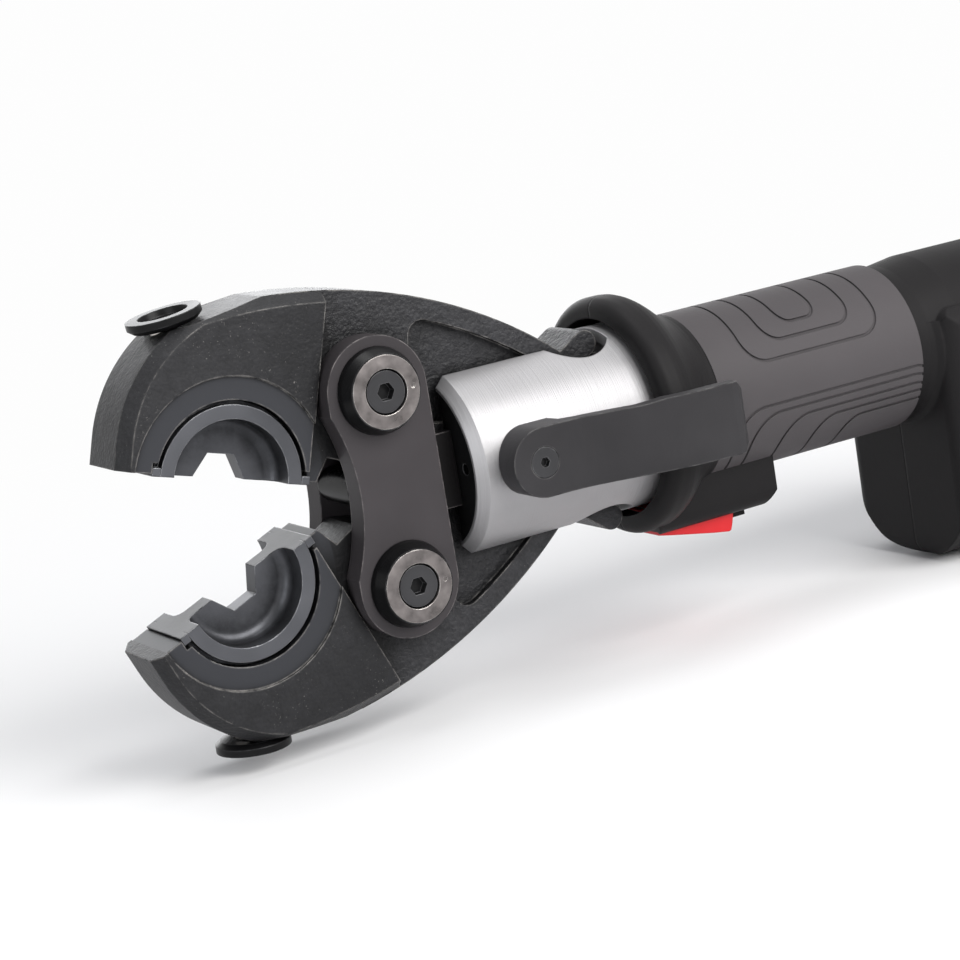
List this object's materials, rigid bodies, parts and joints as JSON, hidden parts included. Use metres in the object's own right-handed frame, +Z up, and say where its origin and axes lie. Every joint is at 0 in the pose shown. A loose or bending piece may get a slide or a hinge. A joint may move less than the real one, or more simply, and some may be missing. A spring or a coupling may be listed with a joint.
{
  "type": "hydraulic crimping tool",
  "caption": "In-line battery hydraulic crimping tool with an open scissor-jaw head, half-hexagon dies, roller ram, turning fork housing with belt hook, rubber grip and trigger.",
  "frame": {"origin": "on the tool axis at the middle of the rubber grip", "axes": "+X rearward along the tool axis, +Z up and away from the trigger, -Y the side with the belt hook"},
  "size_m": [0.4007, 0.0908, 0.1441],
  "materials": {
    "black_nylon": "fine grain, semi-matt",
    "grip_rubber": "matt, soft touch",
    "red_plastic": "semi-gloss",
    "pack_plastic": "fine grain",
    "jaw_steel": "phosphated, dark satin",
    "plate_steel": "phosphated, satin",
    "die_steel": "phosphated, turned",
    "black_steel": "black oxide",
    "bright_steel": "ground",
    "silver_sleeve": "satin nickel",
    "hook_paint": "textured powder coat",
    "spring_steel": "bright wire",
    "cast_aluminium": "machined",
    "seal_rubber": "smooth",
    "bronze": "turned",
    "board": "lacquered"
  },
  "bodies": {
    "tool_body": {"left_housing": "black_nylon", "right_housing": "black_nylon", "grip_sleeve": "grip_rubber", "housing_screws": "black_steel", "trigger_pin": "bright_steel", "switch_block": "black_nylon", "thrust_washer": "bronze", "swivel_pins": "bright_steel", "pump_block": "cast_aluminium", "pump_plunger": "bright_steel", "plunger_spring": "spring_steel", "check_valves": "bronze", "oil_bladder": "seal_rubber", "gearbox_case": "black_steel", "motor_can": "bright_steel", "control_board": "board", "terminal_block": "black_nylon"},
    "trigger_lever": {"trigger": "red_plastic"},
    "release_plunger": {"release_button": "black_nylon"},
    "pump_shaft": {"eccentric_shaft": "bright_steel", "eccentric_bearing": "bright_steel"},
    "battery_pack": {"battery_case": "pack_plastic", "battery_latch": "red_plastic"},
    "head": {"fork_housing": "silver_sleeve", "left_cheek_block": "black_steel", "right_cheek_block": "black_steel", "left_link_plate": "plate_steel", "right_link_plate": "plate_steel", "cheek_dowels": "bright_steel", "upper_pivot_pin": "bright_steel", "lower_pivot_pin": "bright_steel", "pin_collars": "black_steel", "pin_rings": "bright_steel", "pin_screws": "black_steel", "cheek_grub_screws": "black_steel", "belt_hook": "hook_paint", "belt_hook_screw": "black_steel", "hydraulic_cylinder": "bright_steel", "rod_seal": "seal_rubber", "swivel_seal": "seal_rubber", "return_spring": "spring_steel", "jaw_spring": "spring_steel", "jaw_stop": "black_steel"},
    "ram": {"ram_piston": "bright_steel", "piston_seal": "seal_rubber", "roller_fork": "plate_steel", "roller_pins": "bright_steel"},
    "upper_roller_wheel": {"upper_roller": "bright_steel"},
    "lower_roller_wheel": {"lower_roller": "bright_steel"},
    "upper_jaw_arm": {"upper_jaw": "jaw_steel", "upper_die": "die_steel", "upper_knob_bush": "bright_steel", "upper_knob_spring": "spring_steel"},
    "lower_jaw_arm": {"lower_jaw": "jaw_steel", "lower_die": "die_steel", "lower_knob_bush": "bright_steel", "lower_knob_spring": "spring_steel"},
    "upper_knob_pull": {"upper_die_knob": "black_steel"},
    "lower_knob_pull": {"lower_die_knob": "black_steel"}
  },
  "joints": [
    {"name": "head_turn", "type": "hinge", "parent": "tool_body", "child": "head", "pos_m": [0, 0, 0], "axis": [1, 0, 0], "range_deg": [-175, 175]},
    {"name": "ram_slide", "type": "slide", "parent": "head", "child": "ram", "axis": [-1, 0, 0], "range_m": [0, 0.028], "stiffness_N_per_m": 2500, "springref_m": -0.012, "deforming": ["return_spring", "jaw_spring"]},
    {"name": "upper_jaw_swing", "type": "hinge", "parent": "head", "child": "upper_jaw_arm", "pos_m": [-0.157, 0, 0.0305], "axis": [0, -1, 0], "range_deg": [0, 16.5]},
    {"name": "lower_jaw_swing", "type": "hinge", "parent": "head", "child": "lower_jaw_arm", "pos_m": [-0.157, 0, -0.0305], "axis": [0, 1, 0], "range_deg": [0, 22.5]},
    {"name": "upper_roller_spin", "type": "hinge", "parent": "ram", "child": "upper_roller_wheel", "pos_m": [-0.085, 0, 0.0082], "axis": [0, 1, 0], "range_deg": [0, 320]},
    {"name": "lower_roller_spin", "type": "hinge", "parent": "ram", "child": "lower_roller_wheel", "pos_m": [-0.085, 0, -0.0082], "axis": [0, -1, 0], "range_deg": [0, 320]},
    {"name": "upper_knob_lift", "type": "slide", "parent": "upper_jaw_arm", "child": "upper_knob_pull", "axis": [-0.1305, 0, 0.9914], "range_m": [0, 0.003], "stiffness_N_per_m": 1500, "springref_m": -0.003, "deforming": ["upper_knob_spring"]},
    {"name": "lower_knob_lift", "type": "slide", "parent": "lower_jaw_arm", "child": "lower_knob_pull", "axis": [-0.0262, 0, -0.9997], "range_m": [0, 0.003], "stiffness_N_per_m": 1500, "springref_m": -0.003, "deforming": ["lower_knob_spring"]},
    {"name": "trigger_pull", "type": "hinge", "parent": "tool_body", "child": "trigger_lever", "pos_m": [-0.058, 0, -0.035], "axis": [0, -1, 0], "range_deg": [0, 7], "stiffness_Nm_per_rad": 0.8, "springref_deg": -8.59},
    {"name": "release_press", "type": "slide", "parent": "tool_body", "child": "release_plunger", "axis": [0, 0, 1], "range_m": [0, 0.003], "stiffness_N_per_m": 600, "springref_m": -0.002},
    {"name": "pump_turn", "type": "hinge", "parent": "tool_body", "child": "pump_shaft", "pos_m": [0, 0, 0], "axis": [1, 0, 0], "continuous": true},
    {"name": "battery_slide", "type": "slide", "parent": "tool_body", "child": "battery_pack", "axis": [1, 0, 0], "range_m": [0, 0.1], "deforming": ["battery_latch"]}
  ],
  "couplings": [
    {"joint": "upper_jaw_swing", "follows": "ram_slide", "rad_per_m": 10.285},
    {"joint": "lower_jaw_swing", "follows": "ram_slide", "rad_per_m": 14.025},
    {"joint": "upper_roller_spin", "follows": "ram_slide", "rad_per_m": 171.06},
    {"joint": "lower_roller_spin", "follows": "ram_slide", "rad_per_m": 193.42}
  ]
}
